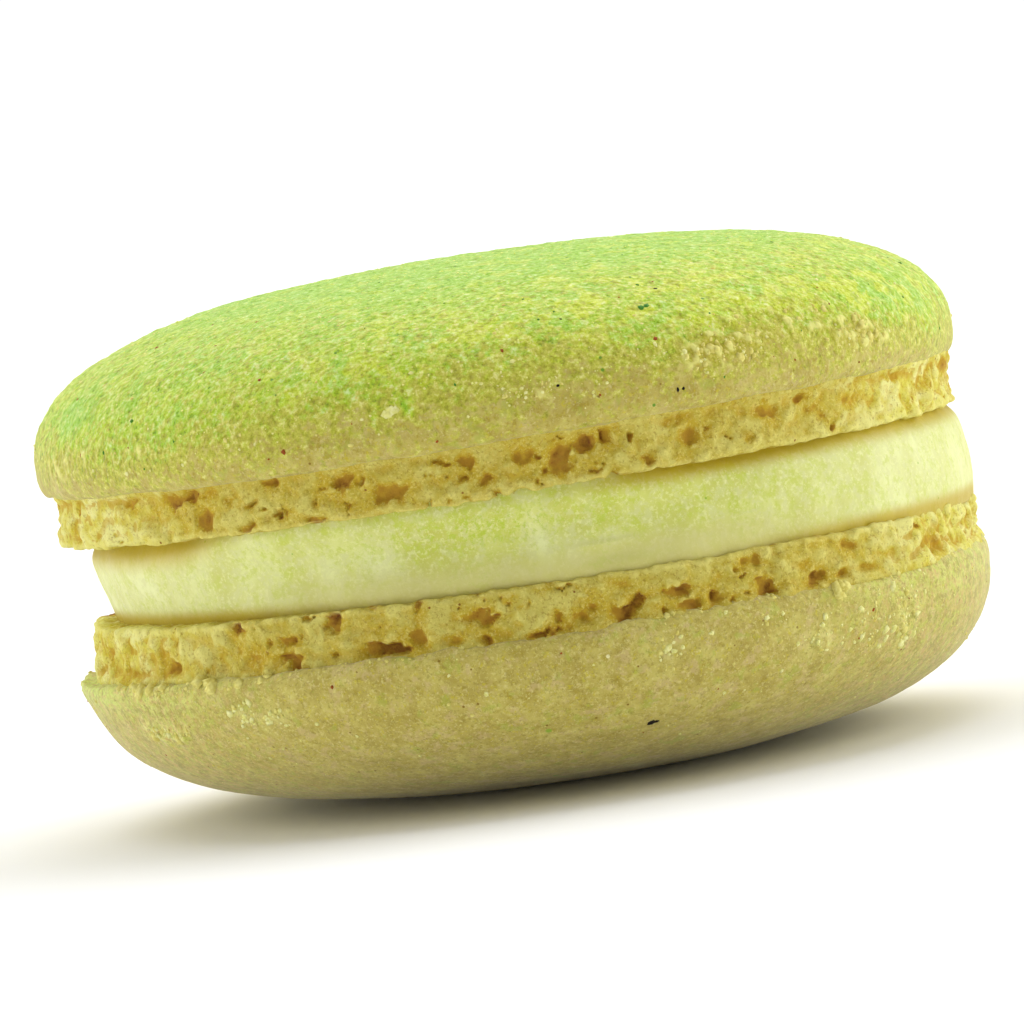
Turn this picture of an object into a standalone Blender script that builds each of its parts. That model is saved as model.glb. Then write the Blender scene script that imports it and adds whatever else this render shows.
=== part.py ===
"""A French macaron: two domed almond biscuits, each on its ruffled foot, with a disc of buttercream between them.

Units are metres and +Z is up. The origin is on the table, under the middle of the macaron.
-Y is the front, and +X is the side towards which the cream was pressed.
"""

import math

import bmesh
import bpy
from mathutils import Vector, noise

MM = 0.001

# Heights of the layers, from the table up.
LOWER_RIM = 8.05 * MM  # plane where the lower biscuit's dome ends and its foot starts
LOWER_FOOT = 2.35 * MM
CREAM = 4.15 * MM
UPPER_FOOT = 2.5 * MM
UPPER_DOME = 8.4 * MM
UPPER_RIM = LOWER_RIM + LOWER_FOOT + CREAM + UPPER_FOOT
GAP = 0.3 * MM  # kept between a biscuit and the cream
AXIS_MARGIN = 0.1 * MM  # a point nearer to the axis than this is on it

# The domes. An outline is |radius|^roundness + |height|^shoulder = 1 from the belly to the pole.
DOME_RADIUS = 22.6 * MM  # at the belly, the widest ring of a biscuit
BELLY = 1.1 * MM  # how far from the rim plane that ring lies
LIP_TUCK = 0.55 * MM  # how far the lip curls in between the belly and the rim plane
UPPER_ROUNDNESS = 2.55
UPPER_SHOULDER = 2.55
LOWER_ROUNDNESS = 3.5
LOWER_SHOULDER = 2.0
FLAT_LOSS = 0.1 * MM  # height that the lower dome loses at its flat spot

# The feet.
FOOT_RADIUS = 21.95 * MM
FOOT_EDGE = 0.35 * MM  # rounding where the side meets the flat face
RUFFLE_WIDTH = 3.4 * MM
RUFFLE_HEIGHT = 1.6 * MM
RUFFLE_DEPTH = 0.95 * MM  # how deep the nooks between the ruffles are
RUFFLE_SWELL = 0.35 * MM  # how far the ruffles stand out

# The cream.
CREAM_RADIUS = 20.9 * MM
CREAM_BULGE = 0.6 * MM

# How far each layer was pushed off the axis, along +X.
LOWER_DOME_SHIFT = 0.2 * MM
LOWER_SLUMP = 1.1 * MM  # further shift of the lower dome's underside
LOWER_FOOT_SHIFT = 0.7 * MM
UPPER_FOOT_SHIFT = 0.1 * MM
CREAM_SHIFT = 1.2 * MM
CREAM_DRAG = 0.12  # how much less the cream is shifted for each unit of height above its foot

# The biscuits aren't quite level: slopes of their rims along X.
UPPER_SLOPE = 0.013
LOWER_SLOPE = 0.010

# Hand-piped batter is never quite round: (lobes around the rim, height of a lobe, turn of the first lobe).
LOBES = ((2, 0.08 * MM, 0.4), (3, 0.10 * MM, 1.9), (5, 0.06 * MM, 4.1))

# Mesh rows and steps.
STEPS = 120
DOME_ROWS = 7
LIP_ROWS = 2
FOOT_ROWS = 5
CREAM_ROWS = 4


def clear_scene():
    for obj in list(bpy.data.objects):
        bpy.data.objects.remove(obj)


def material(name, colour, roughness):
    made = bpy.data.materials.new(name)
    made.use_nodes = True
    shader = made.node_tree.nodes["Principled BSDF"]
    shader.inputs["Base Color"].default_value = (*colour, 1.0)
    shader.inputs["Roughness"].default_value = roughness
    shader.inputs["Metallic"].default_value = 0.0
    return made


def dome_outline(height, roundness, shoulder, top):
    """Points (radius, height over the rim plane) from the pole of a dome, cut off level at top, down to its lip."""
    rise = height - BELLY
    points = [(0.0, top)]
    start = 0.0
    if top < height:
        start = math.acos(((top - BELLY) / rise) ** (shoulder / 2))
    for row in range(DOME_ROWS + 1):
        turn = start + (math.pi / 2 - start) * row / DOME_ROWS
        radius = DOME_RADIUS * math.sin(turn) ** (2 / roundness)
        if radius > 0:
            points.append((radius, BELLY + rise * max(math.cos(turn), 0.0) ** (2 / shoulder)))
    for row in range(1, LIP_ROWS + 1):
        turn = math.pi / 2 * row / LIP_ROWS
        points.append((DOME_RADIUS - LIP_TUCK * (1 - math.cos(turn)), BELLY * (1 - math.sin(turn))))
    return points


def foot_outline(height):
    """Points from just under the lip, down the side of the foot and round its edge, to the middle of the flat face."""
    side = height - FOOT_EDGE
    points = []
    for row in range(FOOT_ROWS):
        points.append((FOOT_RADIUS, -side * (row + 0.5) / FOOT_ROWS))
    points.append((FOOT_RADIUS - 0.3 * FOOT_EDGE, -side - 0.7 * FOOT_EDGE))
    points.append((FOOT_RADIUS - FOOT_EDGE, -height))
    points.append((0.0, -height))
    return points


def cream_outline(bottom, top):
    """Points of a disc whose side swells out between the two biscuits."""
    points = [(0.0, top)]
    for row in range(CREAM_ROWS + 1):
        share = row / CREAM_ROWS
        swell = CREAM_BULGE * math.sin(math.pi * (0.08 + 0.84 * share))
        points.append((CREAM_RADIUS + swell, top + (bottom - top) * share))
    points.append((0.0, bottom))
    return points


def turned(name, outline):
    """A closed mesh object, turned from an outline that runs from the top of the axis round to its bottom."""
    profile = bpy.data.meshes.new(name + "_profile")
    edges = [(i, i + 1) for i in range(len(outline) - 1)]
    profile.from_pydata([(radius, 0.0, height) for radius, height in outline], edges, [])
    obj = bpy.data.objects.new(name, profile)
    bpy.context.scene.collection.objects.link(obj)
    screw = obj.modifiers.new("turn", "SCREW")
    screw.steps = STEPS
    screw.render_steps = STEPS
    screw.use_merge_vertices = True
    screw.merge_threshold = 0.01 * MM
    bpy.context.view_layer.update()
    solid = bpy.data.meshes.new_from_object(obj.evaluated_get(bpy.context.evaluated_depsgraph_get()))
    solid.name = name
    obj.modifiers.clear()
    obj.data = solid
    bpy.data.meshes.remove(profile)
    return obj


def smooth(value, low, high):
    share = min(max((value - low) / (high - low), 0.0), 1.0)
    return share * share * (3 - 2 * share)


def roundness_error(angle):
    return sum(size * math.cos(count * angle + turn) for count, size, turn in LOBES)


def ruffle(point):
    """How far the foot's side is pushed in at this point: baked foam swells in lumps, with nooks between them."""
    spot = Vector((point.x / RUFFLE_WIDTH, point.y / RUFFLE_WIDTH, point.z / RUFFLE_HEIGHT))
    nearest, second = noise.voronoi(spot)[0][:2]
    return RUFFLE_DEPTH * (1 - smooth(second - nearest, 0.0, 0.7)) - RUFFLE_SWELL


def lean(spot):
    """Height that a point gains because the biscuits aren't quite level."""
    upper = smooth(spot.z, LOWER_RIM + LOWER_FOOT + GAP, UPPER_RIM - UPPER_FOOT - GAP)
    upper *= 1 - smooth(spot.z, UPPER_RIM + BELLY, UPPER_RIM + UPPER_DOME)
    lower = smooth(spot.z, 0.0, LOWER_RIM) * (1 - smooth(spot.z, LOWER_RIM, LOWER_RIM + LOWER_FOOT))
    return spot.x * (UPPER_SLOPE * upper + LOWER_SLOPE * lower)


def shape_biscuit(obj, rim, way, dome_shift, slump, foot_shift):
    """Makes a turned biscuit uneven: it is lobed, ruffled, leaning, and its foot and underside are shifted.

    way is 1 for a dome above its foot, and -1 for one below it.
    """
    for vertex in obj.data.vertices:
        spot = vertex.co
        radius = math.hypot(spot.x, spot.y)
        over_rim = (spot.z - rim) * way
        in_foot = 1 - smooth(over_rim, -0.2 * BELLY, 0.5 * BELLY)
        shift = dome_shift + (foot_shift - dome_shift) * in_foot
        shift += slump * max(1 - spot.z / rim, 0.0) ** 2
        if radius > AXIS_MARGIN:
            on_side = smooth(radius, FOOT_RADIUS - 3 * FOOT_EDGE, FOOT_RADIUS - FOOT_EDGE)
            grown = radius + roundness_error(math.atan2(spot.y, spot.x)) * radius / DOME_RADIUS
            grown -= in_foot * on_side * ruffle(spot)
            spot.x *= grown / radius
            spot.y *= grown / radius
        spot.z += lean(spot)
        spot.x += shift


def shape_cream(obj):
    """Makes the cream's side wavy, pushes the disc off the axis, and leans its top as the upper biscuit leans."""
    for vertex in obj.data.vertices:
        spot = vertex.co
        radius = math.hypot(spot.x, spot.y)
        if radius > AXIS_MARGIN:
            wave = 1 + roundness_error(math.atan2(spot.y, spot.x) + 1.0) / CREAM_RADIUS
            spot.x *= wave
            spot.y *= wave
        spot.x += CREAM_SHIFT - CREAM_DRAG * (spot.z - LOWER_RIM - LOWER_FOOT)
        spot.z += lean(spot)


def finish(obj, look, collection):
    """Closes the mesh's poles, shades it smooth, and gives it its material and collection."""
    bm = bmesh.new()
    bm.from_mesh(obj.data)
    bmesh.ops.remove_doubles(bm, verts=bm.verts, dist=0.001 * MM)
    bmesh.ops.recalc_face_normals(bm, faces=bm.faces)
    bm.to_mesh(obj.data)
    bm.free()
    obj.data.shade_smooth()
    obj.data.set_sharp_from_angle(angle=math.radians(50))
    obj.data.materials.clear()
    obj.data.materials.append(look)
    bpy.context.scene.collection.objects.unlink(obj)
    collection.objects.link(obj)


def upper_biscuit():
    outline = dome_outline(UPPER_DOME, UPPER_ROUNDNESS, UPPER_SHOULDER, UPPER_DOME) + foot_outline(UPPER_FOOT)
    obj = turned("top_shell", [(radius, UPPER_RIM + height) for radius, height in outline])
    shape_biscuit(obj, UPPER_RIM, 1, 0.0, 0.0, UPPER_FOOT_SHIFT)
    return obj


def lower_biscuit():
    height = LOWER_RIM + FLAT_LOSS
    outline = dome_outline(height, LOWER_ROUNDNESS, LOWER_SHOULDER, LOWER_RIM) + foot_outline(LOWER_FOOT)
    obj = turned("bottom_shell", [(radius, LOWER_RIM - height) for radius, height in reversed(outline)])
    shape_biscuit(obj, LOWER_RIM, -1, LOWER_DOME_SHIFT, LOWER_SLUMP, LOWER_FOOT_SHIFT)
    return obj


def cream_disc():
    obj = turned("filling", cream_outline(LOWER_RIM + LOWER_FOOT + GAP, UPPER_RIM - UPPER_FOOT - GAP))
    shape_cream(obj)
    return obj


def main():
    clear_scene()
    macaron = bpy.data.collections.new("macaron")
    bpy.context.scene.collection.children.link(macaron)
    finish(upper_biscuit(), material("dusted_biscuit", (0.50, 0.62, 0.12), 0.85), macaron)
    finish(lower_biscuit(), material("plain_biscuit", (0.50, 0.42, 0.11), 0.8), macaron)
    finish(cream_disc(), material("buttercream", (0.72, 0.71, 0.30), 0.5), macaron)


main()
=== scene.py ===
"""The looks of a French macaron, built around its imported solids.

Shapes are worked out in millimetres and become objects in metres. An angle is counted around the macaron from
its front (-Y) towards +X. A height over a rim is counted from the plane where a biscuit's dome meets its foot,
towards the pole of the dome, and a drop from the same plane towards the cream.
"""

import math

import bmesh
import bpy
import numpy as np
from mathutils import Matrix, Vector


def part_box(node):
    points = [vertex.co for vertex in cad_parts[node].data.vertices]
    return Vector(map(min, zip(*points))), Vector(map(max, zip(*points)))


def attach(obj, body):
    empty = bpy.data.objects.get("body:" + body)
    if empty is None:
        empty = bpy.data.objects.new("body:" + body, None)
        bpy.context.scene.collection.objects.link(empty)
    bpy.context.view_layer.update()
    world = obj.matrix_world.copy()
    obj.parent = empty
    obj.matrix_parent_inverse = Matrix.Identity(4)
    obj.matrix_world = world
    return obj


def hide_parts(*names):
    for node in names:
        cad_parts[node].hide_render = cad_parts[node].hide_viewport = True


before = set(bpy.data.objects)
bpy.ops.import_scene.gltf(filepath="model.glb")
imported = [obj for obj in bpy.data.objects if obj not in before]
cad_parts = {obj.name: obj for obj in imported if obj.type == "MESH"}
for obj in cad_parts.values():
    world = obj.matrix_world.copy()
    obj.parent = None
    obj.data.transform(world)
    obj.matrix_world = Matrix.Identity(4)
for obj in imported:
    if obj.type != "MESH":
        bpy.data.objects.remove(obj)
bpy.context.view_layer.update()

MM = 0.001
TURN = 2 * math.pi
BODY = "root"


def millimetres(corner):
    return np.array(corner) / MM


UPPER_HIGH = millimetres(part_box("top_shell")[1])
LOWER_HIGH = millimetres(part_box("bottom_shell")[1])
CREAM_LOW = millimetres(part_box("filling")[0])

# ---- Sizes of the two biscuits, as in the solids ----

UPPER_DOME = 8.4
UPPER_FOOT = 2.5
LOWER_FOOT = 2.35
FLAT_LOSS = 0.1  # height that the lower dome loses at its flat spot
UPPER_RIM = UPPER_HIGH[2] - UPPER_DOME
LOWER_RIM = LOWER_HIGH[2] - LOWER_FOOT
DOME_RADIUS = 22.6
BELLY = 1.1  # height of the widest ring over the rim
LIP_TUCK = 0.55  # how far in the lip is from the belly
FOOT_RADIUS = 21.95
LOWER_DOME_SHIFT = 0.2  # how far off the middle a part is, towards +X
LOWER_FOOT_SHIFT = 0.7
UPPER_FOOT_SHIFT = 0.1
LOWER_SLUMP = 1.1  # how far the lower dome's flat spot is off its middle
UPPER_SLOPE = 0.013  # rise of a foot along X
LOWER_SLOPE = 0.010
LOBES = ((2, 0.08, 0.4), (3, 0.1, 1.9), (5, 0.06, 4.1))  # count around the macaron, size in mm, turn in radians

# ---- Sizes of the cream ----

CREAM_RADIUS = 21.15
CREAM_BULGE = 0.35  # how far its side swells out
CREAM_SHIFT = 1.2  # how far off the middle it is, towards +X
CREAM_DRAG = 0.12  # how far it is dragged back for each mm of height
CREAM_SINK = 0.3  # how far the cream's faces sink into the feet


# ---- Noise ----

class Noise:
    """Smooth gradient noise in three dimensions, mostly between -1 and 1, with about one lump in a unit."""

    def __init__(self, seed):
        source = np.random.default_rng(seed)
        self.order = source.permutation(256)
        slopes = source.normal(size=(256, 3))
        self.slopes = slopes / np.linalg.norm(slopes, axis=1)[:, None]

    def __call__(self, x, y, z):
        base = [np.floor(value).astype(int) for value in (x, y, z)]
        part = [value - low for value, low in zip((x, y, z), base)]
        fade = [value ** 3 * (value * (value * 6 - 15) + 10) for value in part]
        total = 0.0
        for corner in np.ndindex(2, 2, 2):
            picked = 0
            weight = 1.0
            for low, blend, step in zip(base, fade, corner):
                picked = self.order[(picked + low + step) & 255]
                weight = weight * (blend if step else 1 - blend)
            slope = self.slopes[picked]
            rise = sum(slope[..., axis] * (part[axis] - corner[axis]) for axis in range(3))
            total = total + weight * rise
        return 1.8 * total


def around(angle, radius, height):
    """Cartesian coordinates of a point given by its angle from the front, radius and height."""
    return radius * np.sin(angle), -radius * np.cos(angle), height


def rough(noise, angle, radius, height, size, squash=1.0):
    """Noise over the macaron's surface, with lumps of this size in mm. squash flattens them."""
    x, y, z = around(angle, radius, height)
    return noise(x / size, y / size, z * squash / size)


def turn_from(angle, degrees=0.0):
    """The turn to an angle from another one, between half a turn to the left and half a turn to the right."""
    return (angle - math.radians(degrees) + math.pi) % TURN - math.pi


def smooth(value, low, high):
    """0 where value is low, 1 where it is high, and a smooth rise between them."""
    share = np.clip((value - low) / (high - low), 0.0, 1.0)
    return share * share * (3 - 2 * share)


def smooth_min(first, second, width):
    share = np.clip(0.5 + 0.5 * (second - first) / width, 0.0, 1.0)
    return second + (first - second) * share - width * share * (1 - share)


def patch(angle, height, where):
    """A soft spot on a round surface. where is (angle in degrees, height, width, tallness, strength)."""
    centre, level, width, tallness, strength = where
    along = turn_from(angle, centre) * DOME_RADIUS
    return strength * np.exp(-((along / width) ** 2) - ((height - level) / tallness) ** 2)


# ---- The unevenness of the whole macaron ----

def roundness_error(angle):
    return sum(size * np.cos(count * (angle - math.pi / 2) + turn) for count, size, turn in LOBES)


def lean(x, z):
    """Height that a point gains because the biscuits aren't quite level."""
    upper = smooth(z, CREAM_LOW[2], UPPER_RIM - UPPER_FOOT)
    upper = upper * (1 - smooth(z, UPPER_RIM + BELLY, UPPER_RIM + UPPER_DOME))
    lower = smooth(z, 0.0, LOWER_RIM) * (1 - smooth(z, LOWER_RIM, LOWER_RIM + LOWER_FOOT))
    return x * (UPPER_SLOPE * upper + LOWER_SLOPE * lower)


def settle(angle, radius, z, shift):
    """Puts ideal round coordinates where the uneven macaron has them, as rows of x, y and z in mm."""
    lobed = radius * (1 + roundness_error(angle) / DOME_RADIUS)
    x, y, z = around(angle, lobed, z)
    return np.stack([x + shift, y, z + lean(x, z)], axis=-1)


# ---- Meshes ----

def add_mesh(name, points, faces, material, attributes=None):
    """An object from points in mm. Faces point out, because they are turned round where the volume says so."""
    corners = [points[faces[:, index]] for index in range(3)]
    volume = np.einsum("ij,ij->i", corners[0], np.cross(corners[1], corners[2])).sum()
    if volume < 0:
        faces = faces[:, ::-1]
    mesh = bpy.data.meshes.new(name)
    mesh.from_pydata(points * MM, [], faces)
    for key, values in (attributes or {}).items():
        layer = mesh.attributes.new(key, "FLOAT", "POINT")
        layer.data.foreach_set("value", np.asarray(values, dtype=np.float32))
    mesh.shade_smooth()
    mesh.materials.append(material)
    mesh.validate()
    obj = bpy.data.objects.new(name, mesh)
    bpy.context.scene.collection.objects.link(obj)
    return obj


def ring_faces(inner, inner_count, outer, outer_count):
    """Triangles between two rings that start at these points. The outer one may have twice the points."""
    step = np.arange(inner_count)
    here, following = inner + step, inner + (step + 1) % inner_count
    if inner_count == outer_count:
        outer_following = outer + (step + 1) % outer_count
        corners = ((here, outer + step, outer_following), (here, outer_following, following))
    else:
        even, odd, last = outer + 2 * step, outer + 2 * step + 1, outer + (2 * step + 2) % outer_count
        corners = ((here, even, odd), (here, odd, following), (following, odd, last))
    return np.concatenate([np.stack(three, axis=1) for three in corners])


def fan_faces(ring, count, pole, inward):
    step = np.arange(count)
    following = (step + 1) % count
    if inward:
        step, following = following, step
    return np.stack([np.full(count, pole), ring + step, ring + following], axis=1)


def ring_surface(points, counts, ends_out=True):
    """Points and faces of a closed surface: rings with these counts of points, and a fan at either end."""
    starts = np.concatenate([[0], np.cumsum(counts)])
    pole = len(points)
    ends = [points[:counts[0]].mean(axis=0), points[starts[-2]:].mean(axis=0)]
    faces = [fan_faces(0, counts[0], pole, not ends_out)]
    for row in range(len(counts) - 1):
        faces.append(ring_faces(starts[row], counts[row], starts[row + 1], counts[row + 1]))
    faces.append(fan_faces(starts[-2], counts[-1], pole + 1, ends_out))
    return np.concatenate([points, ends]), np.concatenate(faces)


# ---- Domes ----

FINE_STEPS = 832  # points around the widest rings of a dome
HALVED_AT = 1.55  # a ring that is this much narrower than the dome has half the points, and so on inwards
MOST_HALVINGS = 6
CROWN_EDGE = (15.0, 19.0)  # radii between which the rings' spacing on the crown turns into that on the side
OUTLINE_STEPS = 1200  # points of a dome's outline, from the pole to the belly
LIP_STEPS = 60  # and from there to the lip
TUCK_STEPS = 20  # and from there in, under the dome
TUCK_DEPTH = 1.9  # how far in
TUCK_RISE = 0.12  # and how far towards the pole


class Dome:
    """The dome of a biscuit: its outline, its relief, and where both put a point of its surface."""

    def __init__(self, rim, way, height, roundness, shoulder, top, shift, slump, wave, relief):
        self.rim = rim
        self.way = way
        self.shift = shift
        self.slump = slump
        self.wave = wave
        self.relief = relief
        turn = np.linspace(0, math.pi / 2, OUTLINE_STEPS)
        radius = DOME_RADIUS * np.sin(turn) ** (2 / roundness)
        over = BELLY + (height - BELLY) * np.cos(turn) ** (2 / shoulder)
        lip = np.linspace(0, math.pi / 2, LIP_STEPS)[1:]
        self.radius = np.concatenate([radius, DOME_RADIUS - LIP_TUCK * (1 - np.cos(lip))])
        self.over = np.concatenate([np.minimum(over, top), BELLY * (1 - np.sin(lip))])
        tucked = np.linspace(0, 1, TUCK_STEPS)[1:]
        self.radius = np.concatenate([self.radius, self.radius[-1] - TUCK_DEPTH * tucked])
        self.over = np.concatenate([self.over, TUCK_RISE * tucked])
        step = np.hypot(np.diff(self.radius), np.diff(self.over))
        self.arc = np.concatenate([[0.0], np.cumsum(step)])
        self.lip_arc = self.arc[-TUCK_STEPS]

    def arc_at(self, over):
        """How far along the outline, from the pole, the surface is this high over the rim."""
        visible = self.arc <= self.lip_arc
        return np.interp(-np.asarray(over, dtype=float), -self.over[visible], self.arc[visible])

    def outline(self, arc):
        """Radius, height over the rim, and the outward normal's two parts at a distance along the outline."""
        radius = np.interp(arc, self.arc, self.radius)
        over = np.interp(arc, self.arc, self.over)
        ahead = np.minimum(arc + 0.05, self.arc[-1])
        behind = np.maximum(arc - 0.05, 0.0)
        run = np.interp(ahead, self.arc, self.radius) - np.interp(behind, self.arc, self.radius)
        rise = np.interp(ahead, self.arc, self.over) - np.interp(behind, self.arc, self.over)
        length = np.hypot(run, rise)
        return radius, over, -rise / length, run / length

    def surface(self, angle, arc):
        """Points of the uneven, rough surface, its smooth normals, and how much of a crumb each point is."""
        radius, over, out, up = self.outline(arc)
        lift, crumb = self.relief(angle, radius, over)
        inside = smooth(arc, self.lip_arc + 0.3, self.arc[-1])
        lift = lift * (1 - inside)
        wave = self.wave * (rough(spread, angle, radius, 0.0, 2.1) + 0.6 * rough(fine, angle, radius, 0.0, 0.5))
        z = self.rim + self.way * (over + lift * up + wave * (1 - smooth(over, 0.1, 0.9)))
        shift = self.shift + self.slump * np.clip(1 - z / self.rim, 0, None) ** 2
        points = settle(angle, radius + lift * out, z, shift)
        x, y, _ = around(angle, out, 0)
        return points, np.stack([x, y, self.way * up + 0 * x], axis=-1), crumb

    def rings(self, side_spacing, crown_spacing):
        """Distances along the outline for the mesh's rings, closer together on the side than on the crown."""
        spacing = np.interp(self.radius, CROWN_EDGE, [crown_spacing, side_spacing])
        count = np.concatenate([[0.0], np.cumsum(np.diff(self.arc) / spacing[1:])])
        return np.interp(np.arange(1, int(count[-1]) + 1) / int(count[-1]) * count[-1], count, self.arc)

    def build(self, name, material, attribute_maker, side_spacing, crown_spacing):
        """The dome as one closed mesh of rings, with fewer points in the rings near its pole."""
        arcs = self.rings(side_spacing, crown_spacing)
        radii = np.interp(arcs, self.arc, self.radius)
        counts = []
        for radius in radii:
            halvings = math.floor(math.log2(DOME_RADIUS / HALVED_AT / max(radius, 0.01)) + 1)
            counts.append(FINE_STEPS >> max(0, min(MOST_HALVINGS, halvings)))
        angle = np.concatenate([np.arange(count) / count * TURN for count in counts])
        arc = np.repeat(arcs, counts)
        points, _, crumb = self.surface(angle, arc)
        points, faces = ring_surface(points, counts)
        radius, over, _, _ = self.outline(arc)
        attributes = attribute_maker(angle, radius, over, crumb)
        for key in attributes:
            attributes[key] = np.concatenate([attributes[key], attributes[key][:1], attributes[key][-1:]])
        return add_mesh(name, points, faces, material, attributes)


# ---- The upper dome's surface ----

broad = Noise(1)
middling = Noise(2)
fine = Noise(3)
finest = Noise(4)
spread = Noise(5)

# Soft spots: (angle in degrees, height over the rim, width, tallness, strength).
GREEN_SPOTS = (
    (-67, 3.9, 2, 0.8, 0.8), (54, 3.4, 2, 0.9, 0.6), (-14.6, 1.7, 0.35, 0.9, 0.9), (-9.7, 2.3, 0.3, 0.9, 0.8),
    (66, 3.6, 3, 2.6, 0.25), (140, 3, 2.6, 1.2, 0.3), (-130, 2.8, 2.6, 1.1, 0.3), (175, 4.2, 3.4, 1, 0.3),
)
SUNNY_SPOTS = ((32, 3.9, 18, 2.6, 0.7), (-130, 4.4, 16, 2.5, 0.35), (150, 4.2, 12, 2.4, 0.3))
CRUMBLY_SPOTS = (
    (28, 2.5, 2.6, 0.9, 1), (49, 2, 2.4, 1, 1), (6, 1.9, 2, 0.5, 0.6), (38, 3.3, 4.5, 1.2, 0.5),
    (-50, 2, 2.4, 0.9, 0.5), (-66, 1.8, 3, 1, 0.7), (64, 2, 2, 1, 0.6), (115, 2.4, 3, 1, 1),
    (-150, 2.2, 2.5, 0.9, 0.9), (-95, 2.3, 2.2, 0.8, 0.7), (165, 2.8, 2.8, 1.1, 0.8),
)


def spots(angle, over, places):
    return sum(patch(angle, over, where) for where in places)


def upper_relief(*where):
    """The dusted dome: broad dents, small bumps, and powder grains that thin out towards the lip.

    where is the angle, the radius and the height over the rim.
    """
    angle, _, over = where
    dusty = smooth(over, 1.0, 3.4)
    crumbly = spots(angle, over, CRUMBLY_SPOTS)
    crumbs = np.maximum(rough(fine, *where, 0.42, 0.7) + 0.05, 0.0)
    lift = 0.09 * rough(broad, *where, 7.0) + 0.035 * rough(middling, *where, 2.6)
    lift = lift - 0.1 * smooth(over, 1.5, 4.0)
    powder = 0.04 * rough(fine, *where, 0.95) + 0.055 * rough(finest, *where, 0.5)
    lift = lift + (0.25 + 0.75 * dusty) * powder + 0.3 * crumbly * crumbs
    return lift, crumbly * crumbs


def upper_attributes(angle, radius, over, crumb):
    drift = rough(spread, angle, radius, over, 5.0) + 0.5 * rough(spread, angle, radius, over, 1.6)
    away = turn_from(angle) - 0.1
    reach = (0.5 + 0.25 * np.sin(angle)) * smooth(np.abs(away), 0.35, 0.95)
    reach = reach - 0.9 * np.exp(-((away / 0.75) ** 2))
    powder = smooth(over + 0.7 * drift + reach, -0.3, 4.2) + 0.35 * smooth(over, 6.2, 8.0)
    powder = powder + spots(angle + 0.03 * drift, over + 0.5 * drift, GREEN_SPOTS) * (0.7 + 0.6 * drift)
    crumbly = np.clip(spots(angle, over, CRUMBLY_SPOTS), 0, 1)
    sunny = spots(angle, over, SUNNY_SPOTS)
    return {"powder": np.clip(powder, 0, 1.4), "crumbly": crumbly, "crumb": crumb, "sunny": sunny}


# ---- The lower dome's surface ----

SCABS = (
    (-54.2, 2.75, 1.5, 0.55, 1.5), (-58.5, 2.45, 0.8, 0.5, 1.2), (-39, 1.9, 0.4, 0.4, 0.8),
    (-33.7, 2.1, 1, 0.35, 0.7), (39.4, 0.5, 0.5, 0.3, 0.8), (50, 2.4, 0.9, 0.9, 0.9),
    (35, 2.5, 1.2, 0.6, 0.6), (15.2, 1.6, 0.5, 0.6, 0.6), (120, 2.2, 1.5, 0.7, 0.9),
    (-140, 1.8, 1.2, 0.5, 0.8), (170, 2.6, 1.6, 0.6, 0.8),
)


def lower_relief(*where):
    """The plain dome: smooth skin with low bumps and a few scabs, and a flat spot left as it is."""
    angle, _, over = where
    lift = 0.07 * rough(broad, *where, 8.0) + 0.03 * rough(middling, *where, 3.1)
    lift = lift + 0.012 * rough(fine, *where, 0.9) + 0.01 * rough(finest, *where, 0.45)
    lift = lift - patch(angle, over, (-90, 2.6, 19.0, 2.6, 0.65)) - 0.12 * smooth(over, 0.3, 1.5)
    crust = np.maximum(rough(fine, *where, 0.8, 0.7) + 0.2, 0.0)
    lift = lift - patch(angle, over, (-60, 1.8, 0.9, 0.5, 0.12)) + 0.32 * spots(angle, over, SCABS) * crust
    resting = smooth(over, LOWER_RIM - 0.5, LOWER_RIM - 0.05)
    return lift * (1 - resting), 0.0


def lower_attributes(angle, radius, over, _):
    sides = smooth(np.abs(turn_from(angle)), 0.45, 1.0)
    drift = 0.5 * rough(spread, angle, radius, over, 2.5)
    dusted = sides * (1 - smooth(over + drift, 0.6, 3.0))
    # A spot on the lip at the left end adds a green painted reflection to the powder.
    dusted = dusted + 0.6 * spots(angle, over + drift, ((-80, 0.3, 6, 0.9, 1.0),))
    return {"scab": np.clip(spots(angle, over, SCABS), 0, 1), "dusted": dusted, "side": sides}


# ---- Feet ----

GRID = 0.113  # spacing of the grid in which a foot's foam is worked out
FOOT_DEPTH = 2.1  # how far in from the foot's side the grid reaches
FOOT_SWELL = 0.75  # how far out from it
FLUSH = 0.17  # how far a foot swells out where it meets its dome, so that it is flush with the lip

# How deep the skin sinks as it gets more torn: (how torn at first, how torn at last, depth).
SINKS = ((-0.5, 0.0, 0.07), (0.0, 0.14, 0.07), (0.2, 0.36, 0.1), (0.75, 1.1, 0.17))

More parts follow.
